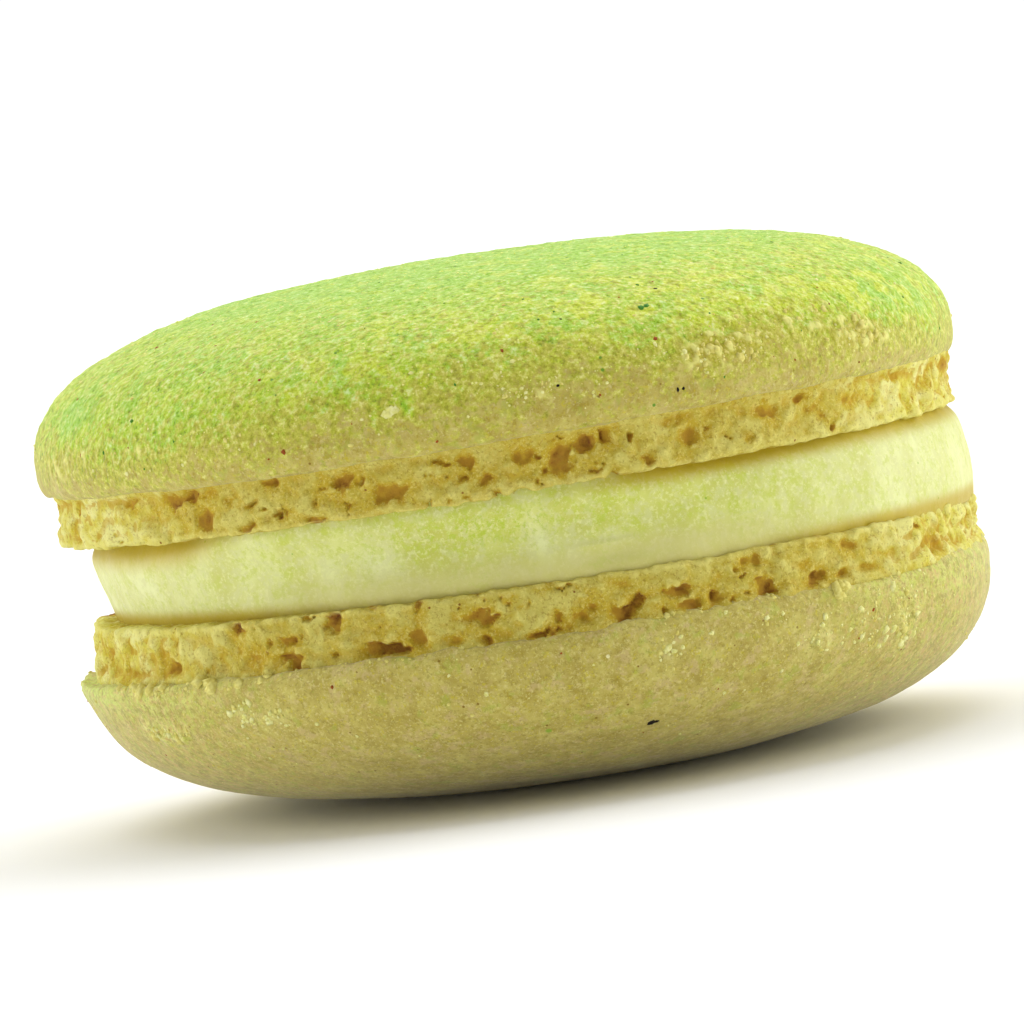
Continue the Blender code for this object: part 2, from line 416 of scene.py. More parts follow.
# Places at the front: (angle in degrees, drop from the rim, width, tallness, how torn). Pale lumps are below 0,
# the skin is sunk where it is torn by 0.5 or so, and there is a cave where it is torn by 1.
UPPER_TEARS = (
    (-72, 1.6, 1.1, 0.8, 0.5), (-64.5, 0.5, 1.4, 0.6, -0.5), (-59, 1.8, 1.8, 0.9, -0.5),
    (-57, 1.05, 0.9, 0.5, 0.5), (-53.6, 0.3, 0.75, 0.45, 1), (-53, 2.05, 1, 0.8, -0.4),
    (-49, 0.85, 0.9, 0.6, 0.4), (-46.3, 1.55, 2.2, 1.3, 0.3), (-45.4, 0.5, 1.3, 0.4, 1),
    (-42, 0.35, 1.2, 0.45, 1), (-40.3, 1.6, 1, 1.2, 0.75), (-36.3, 0.7, 0.7, 0.35, 0.7),
    (-36, 1.65, 1.5, 0.8, -0.35), (-34.3, 2.15, 0.5, 0.25, 0.9), (-33.4, 1, 0.6, 0.3, 1),
    (-31.2, 1.45, 0.7, 0.15, 1), (-29.4, 0.2, 0.9, 0.45, 0.9), (-29.4, 1.65, 0.7, 0.15, 1),
    (-24.6, 2.3, 1.05, 0.35, 1), (-22.8, 0.9, 0.65, 0.15, 1), (-20.4, 0.6, 1.35, 0.65, 1.1),
    (-19.5, 2.3, 0.2, 0.2, 1.2), (-16.7, 2.3, 0.55, 0.25, 0.8), (-14.9, 1.5, 2, 0.9, 0.6),
    (-10.4, 2.2, 0.3, 0.35, 1), (-9.7, 0.9, 0.3, 0.15, 0.9), (-7.4, 2.25, 0.4, 0.3, 0.9),
    (-7.4, 0.5, 0.85, 0.2, 1), (-7, 1.75, 1.5, 0.6, -0.3), (-5.3, 2.35, 0.3, 0.25, 0.9),
    (-5.2, 1.35, 0.35, 0.3, 1.05), (-4.8, 0.65, 0.95, 0.75, 1.1), (-3.1, 1.8, 0.6, 0.35, 0.7),
    (-2.7, 1.4, 0.65, 0.45, 1), (-1.4, 2.4, 1.1, 0.2, 1), (1.5, 2.4, 0.9, 0.2, 1),
    (1.8, 0.75, 0.95, 0.6, 0.55), (6.3, 1.35, 1.25, 1.15, 0.85), (9.5, 0.65, 1, 0.65, 1.05),
    (10.7, 1.95, 0.55, 0.15, 1), (12.4, 0.5, 0.6, 0.6, 0.8), (13, 2.5, 1.1, 0.15, 0.8),
    (13.7, 1.45, 0.6, 0.5, -0.5), (15, 0.9, 0.2, 0.5, 1.05), (17.1, 1.9, 0.5, 0.5, 0.9),
    (18.7, 0.7, 0.65, 0.6, -0.6), (19.2, 1.4, 0.65, 0.5, -0.4), (20.8, 0.35, 1.3, 0.5, 0.45),
    (22.4, 1.15, 1.3, 0.7, 0.5), (25, 1, 0.25, 0.4, 1), (27.5, 1.75, 1, 0.6, -0.4),
    (30.4, 1.7, 0.45, 0.35, 0.8), (33.5, 0.7, 1.25, 0.75, 0.75), (36.9, 1.1, 0.9, 0.5, -0.5),
    (39.1, 0.35, 0.85, 0.45, 0.9), (41.8, 2.1, 0.8, 0.6, -0.6), (42.6, 1.75, 0.8, 0.7, 0.5),
    (45.3, 1.95, 0.85, 0.5, -0.5), (46.9, 1, 1.2, 1, 0.55), (49, 1.95, 0.9, 0.6, -0.4),
    (55.1, 0.8, 0.9, 0.95, -0.6), (56.2, 0.3, 1.8, 0.4, 1), (66, 1, 1, 0.9, 0.5), (78, 0.6, 2.2, 1.1, 0.7),
)
LOWER_TEARS = (
    (-73, 1.05, 1.15, 0.9, 0.5), (-65, 0.25, 1.6, 0.7, 0.5), (-61.7, 2, 2.3, 0.7, -0.5),
    (-55, 0.8, 2.3, 1.1, 0.65), (-53, 0.5, 0.85, 0.4, 0.9), (-47, 0.95, 1.3, 0.7, -0.4),
    (-43.3, 1.85, 1.2, 0.8, -0.5), (-43, 1, 0.8, 0.6, 0.45), (-39.8, 2, 0.7, 0.65, 1.1),
    (-37.3, 0.6, 1.75, 1.1, 0.5), (-33.3, 0.55, 0.8, 0.35, 1), (-32.8, 1.2, 0.55, 0.5, 0.75),
    (-31.8, 0.25, 0.7, 0.65, 1.2), (-29.4, 2.25, 1.05, 0.15, 1), (-28.9, 0.7, 0.6, 0.6, -0.5),
    (-28, 1.65, 0.6, 0.6, -0.4), (-26.2, 1.9, 0.7, 0.7, 1.3), (-25.9, 1.4, 0.35, 0.3, 1.2),
    (-21.4, 0.4, 1.2, 0.65, 1.35), (-20.5, 2.2, 0.6, 0.25, 1), (-18.9, 0.3, 1.3, 0.45, 1.25),
    (-17.4, 0.3, 0.5, 0.25, 1.1), (-15.4, 0.9, 0.8, 0.95, 0.8), (-14.7, 2.15, 0.5, 0.35, 1.3),
    (-12.6, 1.65, 1.25, 0.8, -0.3), (-11.4, 0.35, 1.2, 0.6, 0.85), (-9.9, 1.75, 0.15, 0.15, 1.3),
    (-9.1, 1.15, 0.7, 0.45, 0.55), (-7.3, 1.1, 0.95, 0.6, 1), (-6.9, 0.1, 0.55, 0.55, 1.2),
    (-6.9, 2, 0.2, 0.15, 0.9), (-5.8, 1.3, 0.35, 0.15, 1), (-4.9, 1.35, 0.6, 0.6, -0.4),
    (-3.6, 1.8, 0.35, 0.25, 1), (-1.6, 0.05, 0.8, 0.45, 1.2), (-0.1, 0.2, 0.65, 0.2, 1.1),
    (0.4, 1.35, 1.6, 0.9, -0.35), (1.4, 0.05, 0.6, 0.15, 1.05), (2.8, 2, 1.1, 0.15, 0.8),
    (4.8, 0.75, 1.05, 0.9, 0.9), (9.4, 0.3, 1.2, 0.8, 1.1), (10.8, 0.6, 0.7, 0.45, 1.05),
    (12, 0.95, 0.6, 0.4, 1.2), (16.8, 0.95, 1.2, 0.45, 0.95), (18.1, 0.2, 0.9, 0.6, 0.9),
    (21.2, 1.85, 0.85, 0.5, -0.5), (21.3, 0.45, 0.35, 0.3, 1.15), (23.5, 0.2, 0.4, 0.25, 1.15),
    (25.2, 1.15, 0.3, 0.15, 1.1), (25.3, 0.35, 0.35, 0.25, 1.2), (26.4, 1.7, 1.1, 0.6, 0.5),
    (27.1, 0.8, 0.45, 0.35, 0.9), (28, 0.4, 0.9, 0.7, 1), (28.4, 1.95, 0.8, 0.4, -0.4),
    (28.5, 0.1, 0.55, 0.25, 1.3), (31.8, 1.1, 0.7, 0.8, -0.3), (34.2, 0.95, 0.75, 0.6, 0.55),
    (35.4, 0.3, 0.95, 0.6, 1.05), (39.3, 0.2, 0.5, 0.45, 1.1), (40.5, 1.55, 1.3, 0.7, 0.4),
    (43.7, 0.35, 0.95, 0.6, 0.5), (45.4, 1.4, 1.3, 0.6, -0.5), (48, 0.75, 0.9, 0.5, 0.45),
    (52, 1.85, 1.3, 0.7, -0.5), (58.8, 0.65, 1.5, 1.1, 0.85), (72, 1.1, 1.1, 0.9, 0.5),
)


PITS = 60
CAVES = 50
HOLLOWS = 50
BEHIND = (82, 278)  # angles in degrees between which caves and hollows are left to chance


def chance_tears(source, height):
    """Pits all round, and caves and hollows where none are listed."""
    tears = []
    for _ in range(PITS):
        wide = source.uniform(0.15, 0.28)
        degrees, drop = source.uniform(0, 360), source.uniform(0.2, height)
        tears.append((degrees, drop, wide, wide * source.uniform(0.7, 1.1), 1.0))
    for _ in range(CAVES):
        wide = source.uniform(0.4, 1.1)
        tall = min(0.9, wide * source.uniform(0.4, 0.9))
        drop = height * source.uniform() ** 1.4
        tears.append((source.uniform(*BEHIND), drop, wide, tall, source.uniform(0.8, 1.2)))
    for _ in range(HOLLOWS):
        drop = source.uniform(0.4, height - 0.3)
        tears.append((source.uniform(*BEHIND), drop, source.uniform(1, 2.6), source.uniform(0.5, 1.3), 0.6))
    return tears


def lumpiness(angle):
    """How lumpy a foot is at an angle: the front is a torn skin, and the ends are rounded lumps."""
    away = np.abs(turn_from(angle))
    behind = 0.55 + 0.45 * np.cos(3 * angle + 0.7)
    left = smooth(-np.sin(angle), 0.5, 0.9)
    return (1 - 0.22 * left) * smooth(away, 0.55, 1.15) * (1 - smooth(away, 1.7, 2.1) * (1 - behind))


class Skin:
    """A foot's side as a grid of angle and drop, with three noises."""

    def __init__(self, angles, drops, seed):
        self.angle, self.drop = angles[:, None], drops[None, :]
        self.lumps, self.ripples, self.torn = Noise(seed), Noise(seed + 1), Noise(seed + 2)

    def rough(self, noise, size, squash=1.0, moved=0):
        """Noise over the grid. To be moved makes it another noise."""
        return rough(noise, self.angle, FOOT_RADIUS, self.drop + moved, size, squash)

    def tear(self, tears):
        """How torn the skin is, below 0 where it is whole, and how near a torn place is."""
        total = 0.45 * self.rough(self.torn, 2.2, 1.5) + 0.4 * self.rough(self.ripples, 0.9, 1.2)
        total = total + 0.34 * self.rough(self.lumps, 0.42) - 0.45
        across = 0.2 * self.rough(self.ripples, 0.7, moved=40) + 0.2 * self.rough(self.lumps, 0.33)
        along = 0.2 * self.rough(self.ripples, 0.7, moved=80) + 0.2 * self.rough(self.torn, 0.33)
        near = 0.0
        for degrees, middle, width, tallness, strength in tears:
            side = (turn_from(self.angle, degrees) * FOOT_RADIUS + across) / (0.5 * width)
            up = (self.drop - middle + along) / (0.5 * tallness)
            away = side ** 2 + up ** 2
            total = total + 1.15 * strength * np.exp(-0.7 * away ** 2)
            near = near + strength * np.exp(-0.3 * away)
        return total, near

    def swell(self, lumpy, pinch):
        """How far the whole skin swells out from an even foot."""
        pinched = pinch * smooth(np.abs(np.sin(self.angle)), 0.75, 1.0)
        rounded = 0.6 * np.sqrt(self.rough(self.torn, 1.7, 1.2, 20) ** 2 + 0.01)
        rounded = rounded + 0.28 * np.sqrt(self.rough(self.ripples, 0.9, 1.1, 20) ** 2 + 0.01) - 0.31
        ripple = 0.08 * self.rough(self.ripples, 0.6) + 0.06 * self.rough(self.lumps, 0.33)
        swell = 0.13 * self.rough(self.lumps, 2.3, 0.8) - pinched
        swell = swell + (0.3 + 0.75 * lumpy) * rounded * smooth(self.drop, -0.1, 0.35)
        swell = swell + ripple * (1 - 0.75 * lumpy)
        return swell + FLUSH * (1 - smooth(self.drop, -0.05, 0.35))


def foot_field(height, tears, pinch, seed):
    """Values over a grid of angle, drop and radius: positive in the biscuit and negative in the air.

    Also returns the grid's three axes, how torn its skin is and how near a torn place is.
    """
    steps = int(TURN * FOOT_RADIUS / GRID)
    angles = np.arange(steps) / steps * TURN
    drops = np.arange(-0.4, height + 0.35, GRID)
    radii = np.arange(FOOT_RADIUS - FOOT_DEPTH, FOOT_RADIUS + FOOT_SWELL, GRID)
    skin = Skin(angles, drops, seed)
    torn, near = skin.tear(tears)
    lumpy = lumpiness(skin.angle)
    sunk = sum(depth * smooth(torn, low, high) for low, high, depth in SINKS)
    sunk = (sunk - 0.08 * smooth(-torn, 0.5, 1.0)) * (1 - 0.58 * lumpy) * smooth(skin.drop, -0.25, 0.05)
    side = FOOT_RADIUS + (skin.swell(lumpy, pinch) - sunk)[:, :, None] - radii
    ragged = height - 0.04
    for share, noise, size in ((0.08, skin.ripples, 0.8), (0.08, skin.lumps, 2.6), (0.07, skin.torn, 0.33)):
        ragged = ragged + share * rough(noise, skin.angle, radii[None, :], 0.0, size)
    face = ragged[:, None, :] - drops[None, :, None]
    return smooth_min(side, face + np.zeros_like(side), 0.16), angles, drops, radii, torn, near


def blur(solid, reach):
    """Mean of a grid over a box that reaches this many cells each way. The first axis goes round."""
    for axis in range(3):
        mode = "wrap" if axis == 0 else "edge"
        width = [(reach + 1, reach) if index == axis else (0, 0) for index in range(3)]
        total = np.cumsum(np.pad(solid, width, mode=mode), axis=axis)
        count = solid.shape[axis]
        high = np.take(total, np.arange(2 * reach + 1, 2 * reach + 1 + count), axis=axis)
        low = np.take(total, np.arange(count), axis=axis)
        solid = (high - low) / (2 * reach + 1)
    return solid


def surface_net(field):
    """Points, in grid steps, and four-cornered faces of the surface where a field crosses zero.

    The first axis goes round. Also returns the cell that each point is in.
    """
    looped = np.concatenate([field, field[:1]])
    cells = tuple(size - 1 for size in looped.shape)
    values = {corner: looped[tuple(slice(step, step + size) for step, size in zip(corner, cells))]
              for corner in np.ndindex(2, 2, 2)}
    inside = sum(part > 0 for part in values.values())
    crossed = np.nonzero((inside > 0) & (inside < 8))
    number = np.full(cells, -1)
    number[crossed] = np.arange(len(crossed[0]))
    total = np.zeros((len(crossed[0]), 3))
    count = np.zeros(len(crossed[0]))
    for start in np.ndindex(2, 2, 2):
        for axis in range(3):
            if start[axis]:
                continue
            end = tuple(1 if index == axis else value for index, value in enumerate(start))
            first, second = values[start][crossed], values[end][crossed]
            crosses = (first > 0) != (second > 0)
            share = np.where(crosses, first / np.where(crosses, first - second, 1.0), 0.0)
            spot = np.array(start, dtype=float) + np.eye(3)[axis] * share[:, None]
            total += spot * crosses[:, None]
            count += crosses
    points = np.stack(crossed, axis=1) + total / count[:, None]
    return points, np.concatenate([crossing_faces(field, number, axis) for axis in range(3)]), crossed


def crossing_faces(field, number, axis):
    """A face around each grid edge along this axis that crosses the surface."""
    solid = field > 0
    following = np.roll(solid, -1, axis=0) if axis == 0 else np.take(
        solid, np.minimum(np.arange(solid.shape[axis]) + 1, solid.shape[axis] - 1), axis=axis)
    where = np.nonzero(solid != following)
    others = [index for index in range(3) if index != axis]
    corners = []
    kept = np.ones(len(where[0]), dtype=bool)
    for offset in ((0, 0), (1, 0), (1, 1), (0, 1)):
        cell = [part.copy() for part in where]
        for index, step in zip(others, offset):
            cell[index] = cell[index] - step
            if index == 0:
                cell[index] %= number.shape[0]
            else:
                kept &= (cell[index] >= 0) & (cell[index] < number.shape[index])
                cell[index] = np.clip(cell[index], 0, number.shape[index] - 1)
        corners.append(number[tuple(cell)])
    faces = np.stack(corners, axis=1)[kept]
    outward = solid[where][kept] != (axis == 1)
    faces[outward] = faces[outward][:, ::-1]
    return faces[(faces >= 0).all(axis=1)]


def close_to(points, faces, poles):
    """Points and triangles of a surface closed by a fan from each of its open edges to the nearer pole."""
    triangles = np.concatenate([faces[:, [0, 1, 2]], faces[:, [0, 2, 3]]])
    edges = np.concatenate([faces[:, [0, 1]], faces[:, [1, 2]], faces[:, [2, 3]], faces[:, [3, 0]]])
    key = edges[:, 0] * len(points) + edges[:, 1]
    other = edges[:, 1] * len(points) + edges[:, 0]
    open_edges = edges[~np.isin(key, other)]
    level = points[open_edges[:, 0], 2]
    nearer = np.argmin(np.abs(level[:, None] - poles[None, :, 2]), axis=1)
    fans = np.stack([open_edges[:, 1], open_edges[:, 0], len(points) + nearer], axis=1)
    return np.concatenate([points, poles]), np.concatenate([triangles, fans])


def build_foot(name, material, rim, way, height, shift, placed, pinch, seed):
    """A biscuit's foot of torn foam, below its rim if way is 1 and above it if way is -1."""
    source = np.random.default_rng(seed)
    tears = list(placed) + chance_tears(source, height)
    field, angles, drops, radii, torn, near = foot_field(height, tears, pinch, seed)
    cells, faces, crossed = surface_net(field)
    angle = cells[:, 0] / len(angles) * TURN
    drop = drops[0] + cells[:, 1] * GRID
    radius = radii[0] + cells[:, 2] * GRID
    points = settle(angle, radius, rim - way * drop, shift)
    poles = np.array([[shift, 0, rim - way * (drops[0] + GRID)], [shift, 0, rim - way * height]])
    points, faces = close_to(points, faces, poles)
    solid = np.clip(field / GRID + 0.5, 0, 1)
    values = {  # of the surface's points, and of both poles
        "torn": (np.clip(torn[crossed[:2]] / 2 + 0.5, 0, 1), 1),
        "near": (np.clip(near[crossed[:2]] / 2 + 0.5, 0, 1), 1),
        "lumpy": (lumpiness(angle), 0),
        # How hollowed out the foam is round each point, over two widths: the foot's look paints shade into the
        # hollows and highlights onto what stands out.
        "hollow": (blur(solid, 4)[crossed] - 0.5, 0.5),
        "crease": (blur(solid, 2)[crossed] - 0.5, 0.5),
    }
    attributes = {key: np.append(part, [end, end]) for key, (part, end) in values.items()}
    return add_mesh(name, points, faces, material, attributes)


# ---- Cream ----

CREAM_STEPS = 1200  # points in each of its rings
CREAM_ROWS = 44  # rings

# Paler streaks at the front: (angle in degrees, height, width, tallness, strength).
PALE_STREAKS = (
    (-20.5, 12.6, 0.9, 1.7, 1), (-17.5, 12.3, 0.5, 1.3, 0.8), (-27, 12.4, 1.2, 1.4, 0.6),
    (0.5, 12.2, 0.5, 1, 0.8), (3.5, 11.9, 0.9, 0.7, 0.8), (4.2, 11.2, 0.5, 0.3, 1), (9, 11.9, 1.6, 0.2, 0.9),
)


def build_cream(material):
    """The disc of cream: a side that swells out, with streaks drawn by the knife and a smear at the front."""
    bottom = LOWER_RIM + LOWER_FOOT - CREAM_SINK
    top = UPPER_RIM - UPPER_FOOT + CREAM_SINK
    angle = np.tile(np.arange(CREAM_STEPS) / CREAM_STEPS * TURN, CREAM_ROWS)
    share = np.repeat(np.linspace(0, 1, CREAM_ROWS), CREAM_STEPS)
    z = bottom + (top - bottom) * share
    degrees = np.degrees(turn_from(angle))
    sides = smooth(np.abs(degrees), 18, 50)
    left_end = smooth(-degrees, 35, 52)
    # Where the cream meets the feet it gets a golden band of painted shade: under the upper foot, most at the
    # left end and from the front to the right, and round its bottom, most towards its ends. The same band also
    # sets the cream back a little under the upper foot.
    painted_shade_nook = 0.1 + 0.85 * smooth(degrees, 0, 20) + 0.9 * left_end
    painted_shade_nook = painted_shade_nook * smooth(share, 0.7 - 0.2 * left_end, 0.95)
    painted_shade_nook = np.maximum(painted_shade_nook, (0.3 + 0.7 * sides) * (1 - smooth(share, 0.05, 0.26)))
    front = 1 - smooth(np.abs(degrees + 12), 22, 45)
    swell = CREAM_BULGE * np.sin(math.pi * share) ** 0.7
    swell = swell + front * (0.6 * smooth(share, 0.55, 0.9) + 0.35 * (1 - smooth(share, 0.1, 0.45)))
    streaks = middling(np.sin(angle) * 11, -np.cos(angle) * 11, z * 0.3)
    waves = 0.1 * rough(broad, angle, CREAM_RADIUS, z, 5.0) + 0.05 * rough(fine, angle, CREAM_RADIUS, z, 1.7)
    lift = waves + 0.018 * streaks + 0.012 * rough(finest, angle, CREAM_RADIUS, z, 0.6)
    lift = lift - patch(angle, z, (8, 11.15, 1.9, 0.42, 0.16)) + patch(angle, z, (8, 11.75, 1.5, 0.13, 0.1))
    lift = lift - 0.4 * painted_shade_nook * smooth(share, 0.7, 1.0) - patch(angle, z, (-90, 11.0, 30, 2.2, 0.4))
    radius = CREAM_RADIUS + swell + lift
    shift = CREAM_SHIFT - CREAM_DRAG * (z - LOWER_RIM - LOWER_FOOT)
    points = settle(angle, radius, z, shift)
    # The two ends are hidden in the feet, and face inwards.
    points, faces = ring_surface(points, [CREAM_STEPS] * CREAM_ROWS, ends_out=False)
    dust = 0.35 * smooth(rough(spread, angle, CREAM_RADIUS, z, 4.0), 0, 0.6)
    dust = patch(angle, z, (-6, 13.3, 5.5, 0.9, 1.0)) + dust
    streak = sum(patch(angle + 0.03 * waves, z, where) for where in PALE_STREAKS)
    pale = np.clip(smooth(np.abs(degrees), 12, 60) + streak, 0, 1)
    low = 0.75 * (1 - sides) * (1 - smooth(share + 0.5 * waves, 0.2, 0.5))
    attributes = {"dust": np.append(dust, [0, 0]), "painted_shade_nook": np.append(painted_shade_nook, [1, 1]),
                  "pale": np.append(pale, [1, 1]), "low": np.append(low, [0, 0])}
    return add_mesh("cream", points, faces, material, attributes)


# ---- Crumbs ----

def ball(subdivisions):
    """Points and triangles of a round crumb of radius 1. Without subdivisions it has eight sides."""
    if not subdivisions:
        points = np.concatenate([np.eye(3), -np.eye(3)])
        faces = [(0, 1, 2), (1, 3, 2), (3, 4, 2), (4, 0, 2), (1, 0, 5), (3, 1, 5), (4, 3, 5), (0, 4, 5)]
        return points, np.array(faces)
    bm = bmesh.new()
    bmesh.ops.create_icosphere(bm, subdivisions=subdivisions, radius=1.0)
    points = np.array([vertex.co[:] for vertex in bm.verts])
    faces = np.array([[vertex.index for vertex in face.verts] for face in bm.faces])
    bm.free()
    return points, faces


def scatter(name, material, places, seed, flatness, sunk, subdivisions):
    """One piece made of many crumbs. places are rows of (point, normal, size in mm)."""
    source = np.random.default_rng(seed)
    base, triangles = ball(subdivisions)
    points, faces = [], []
    for point, normal, size in places:
        uneven = base * source.uniform(0.62, 1.2, (len(base), 1))
        stretch = np.array([source.uniform(0.8, 1.3), source.uniform(0.7, 1.1), flatness])
        turned = Matrix.Rotation(source.uniform(0, TURN), 3, "Z")
        upright = Vector(normal).to_track_quat("Z", "Y").to_matrix() @ turned
        faces.append(triangles + len(points) * len(base))
        middle = point - np.array(normal) * sunk * size
        points.append(middle + (uneven * stretch * 0.5 * size) @ np.array(upright).T)
    return add_mesh(name, np.concatenate(points), np.concatenate(faces), material)


def clusters(groups, seed):
    """Rows of (angle in degrees, height over the rim, size) for crumbs in groups.

    groups are (angle in degrees, height over the rim, width, tallness, count, largest size).
    """
    source = np.random.default_rng(seed)
    rows = ()
    for angle, over, width, tallness, count, largest in groups:
        for _ in range(count):
            away = np.clip(source.normal(size=2), -2, 2)
            turn = angle + math.degrees(away[0] * width / 2 / DOME_RADIUS)
            rows += ((turn, over + away[1] * tallness / 2, largest * (0.35 + 0.95 * source.uniform() ** 3)),)
    return rows


def places_on(dome, hand_placed, seed, count=0, over=(0, 1), sizes=(1, 1)):
    """Places on a dome: listed rows of (angle in degrees, height over the rim, size), and then some by chance.

    over and sizes are the lowest and the highest of what chance gives.
    """
    source = np.random.default_rng(seed)
    arcs = np.linspace(dome.arc_at(over[1]), dome.arc_at(over[0]), 400)
    share = np.cumsum(np.interp(arcs, dome.arc, dome.radius))
    placed = np.array(hand_placed, dtype=float).reshape(-1, 3)
    chance = np.interp(source.uniform(size=count), share / share[-1], arcs)
    arc = np.concatenate([dome.arc_at(placed[:, 1]), chance])
    angle = np.concatenate([np.radians(placed[:, 0]), source.uniform(0, TURN, count)])
    chance_sizes = sizes[0] * (sizes[1] / sizes[0]) ** (source.uniform(size=count) ** 1.6)
    points, normals, _ = dome.surface(angle, arc)
    return list(zip(points, normals, np.concatenate([placed[:, 2], chance_sizes])))


# ---- Materials ----

def linear(red, green, blue):
    """A colour given by its 0 to 255 screen values, as a shader wants it."""
    shares = [value / 255 for value in (red, green, blue)]
    return [v / 12.92 if v <= 0.04045 else ((v + 0.055) / 1.055) ** 2.4 for v in shares] + [1.0]


MIX_INPUTS = (0, 6, 7)  # the sockets by which the Mix node mixes two colours: its share and both colours
MIX_OUTPUT = 2


class Look:
    """A material and short ways to add its nodes."""

    def __init__(self, name, roughness, **shader_values):
        self.material = bpy.data.materials.new(name)
        self.material.use_nodes = True
        self.tree = self.material.node_tree
        self.shader = self.tree.nodes["Principled BSDF"]
        self.feed(self.shader, {"Roughness": roughness})
        self.feed(self.shader, {key.replace("_", " "): value for key, value in shader_values.items()})
        self.place = self.add("ShaderNodeTexCoord", {}).outputs["Object"]

    def feed(self, node, sockets):
        """Sets a node's inputs. A text stands for the mesh's attribute of that name."""
        for key, value in sockets.items():
            if isinstance(value, str):
                value = self.add("ShaderNodeAttribute", {}, attribute_name=value).outputs["Fac"]
            if isinstance(value, bpy.types.NodeSocket):
                self.tree.links.new(value, node.inputs[key])
            else:
                node.inputs[key].default_value = value

    def add(self, kind, sockets, **settings):
        node = self.tree.nodes.new(kind)
        for key, value in settings.items():
            setattr(node, key, value)
        self.feed(node, sockets)
        return node

    def noise(self, size, detail, roughness, stretch=None):
        """Noise with lumps of this size in mm. stretch makes them longer along X, Y and Z."""
        place = self.place
        if stretch:
            scale = [1 / part for part in stretch]
            place = self.add("ShaderNodeMapping", {"Vector": place, "Scale": scale}).outputs["Vector"]
        sockets = {"Vector": place, "Scale": 1 / (size * MM), "Detail": detail, "Roughness": roughness}
        return self.add("ShaderNodeTexNoise", sockets).outputs["Fac"]

    def patches(self, size, detail, roughness, low, high, to_low=0.0, to_high=1.0):
        """Noise as a range: to_low where it is low and to_high where it is high."""
        return self.range(self.noise(size, detail, roughness), low, high, to_low, to_high)

    def cells(self, size):
        """Distance from the middle of the nearest cell, and that cell's chance colour."""
        node = self.add("ShaderNodeTexVoronoi", {"Vector": self.place, "Scale": 1 / (size * MM)})
        return node.outputs["Distance"], node.outputs["Color"]

    def specks(self, spacing, radius, share):
        """1 inside round specks of this radius in mm. Only this share of the cells has one."""
        distance, chance = self.cells(spacing)
        near = self.range(distance, 1.3 * radius / spacing, 0.8 * radius / spacing)
        chance = self.add("ShaderNodeSeparateColor", {"Color": chance}).outputs["Red"]
        return self.math("MULTIPLY", near, self.math("LESS_THAN", chance, share))

    def grains(self, size):
        """Rounded grains of this size in mm: 1 in the middle of each and 0 in the gaps between them."""
        return self.range(self.cells(size)[0], 0.8, 0.1)

    def math(self, operation, first, second):
        return self.add("ShaderNodeMath", {0: first, 1: second}, operation=operation).outputs["Value"]

    def range(self, value, low, high, to_low=0.0, to_high=1.0):
        """value from low to high, turned smoothly into to_low to to_high."""
        sockets = {"Value": value, "From Min": low, "From Max": high, "To Min": to_low, "To Max": to_high}
        return self.add("ShaderNodeMapRange", sockets, interpolation_type="SMOOTHSTEP").outputs["Result"]

    def mix(self, share, first, second):
        sockets = dict(zip(MIX_INPUTS, (share, first, second)))
        return self.add("ShaderNodeMix", sockets, data_type="RGBA").outputs[MIX_OUTPUT]

    def tint(self, base, value, low, high, share, colour, times=None):
        """base turned towards a screen colour, by this share at most, as value passes from low to high."""
        where = self.range(value, low, high, 0.0, share)
        if times:
            where = self.math("MULTIPLY", times, where)
        return self.mix(where, base, linear(*colour))

    def flecks(self, base, rows, times=None):
        """base under flecks of colour. rows are (size in mm, detail, roughness, low, high, share, colour)."""
        for size, detail, roughness, low, high, share, colour in rows:
            base = self.tint(base, self.noise(size, detail, roughness), low, high, share, colour, times)
        return base

    def dots(self, base, rows):
        """base under round specks. rows are (spacing in mm, radius in mm, share of the cells, colour)."""
        for spacing, radius, share, colour in rows:
            base = self.mix(self.specks(spacing, radius, share), base, linear(*colour))
        return base

    def ramp(self, value, stops):
        """A colour for a value. stops are (position, red, green, blue), with 0 to 255 screen colours."""
        node = self.add("ShaderNodeValToRGB", {"Fac": value})
        marks = node.color_ramp.elements
        while len(marks) < len(stops):
            marks.new(0.5)
        for mark, (position, *colour) in zip(marks, stops):
            mark.position = position
            mark.color = linear(*colour)
        return node.outputs["Color"]

    def bump(self, height, distance, strength, **under):
        sockets = {"Height": height, "Distance": distance * MM, "Strength": strength, **under}
        return self.add("ShaderNodeBump", sockets).outputs["Normal"]

    def finish(self, colour, normal):
        self.feed(self.shader, {"Base Color": colour, "Normal": normal})
        return self.material


SOFT = (1.0, 0.9, 0.6)  # how far red, green and blue light travel under a surface, as shares of the scale
BISCUIT = {"Specular_IOR_Level": 0.35, "Subsurface_Weight": 0.12, "Subsurface_Scale": 0.0012,
           "Subsurface_Radius": SOFT, "Sheen_Weight": 0.2, "Sheen_Roughness": 0.5}

# Flecks: (size in mm, detail, roughness, two ends of the noise's range, strongest share, screen colour).
# Specks: (spacing in mm, radius in mm, share of the cells that have one, screen colour).
SKIN = ((0.32, 174, 156, 68), (0.5, 193, 177, 86), (0.68, 209, 199, 106))
SKIN_FLECKS = (
    (0.34, 4, 0.7, 0.5, 0.64, 0.8, (170, 150, 46)), (0.8, 3, 0.6, 0.52, 0.66, 0.65, (206, 184, 124)),
    (0.22, 3, 0.7, 0.55, 0.68, 0.5, (226, 216, 148)), (0.26, 3, 0.7, 0.56, 0.68, 0.7, (204, 190, 48)),
    (0.9, 3, 0.6, 0.56, 0.68, 0.5, (172, 184, 62)),
)
SKIN_SPECKS = (
    (1.6, 0.09, 0.16, (236, 230, 172)), (0.75, 0.06, 0.35, (140, 112, 30)), (2.6, 0.1, 0.18, (150, 74, 30)),
)
PLAIN_FLECKS = (
    (0.17, 3, 0.75, 0.53, 0.64, 0.55, (224, 217, 130)), (0.19, 3, 0.75, 0.46, 0.36, 0.5, (150, 134, 50)),
)
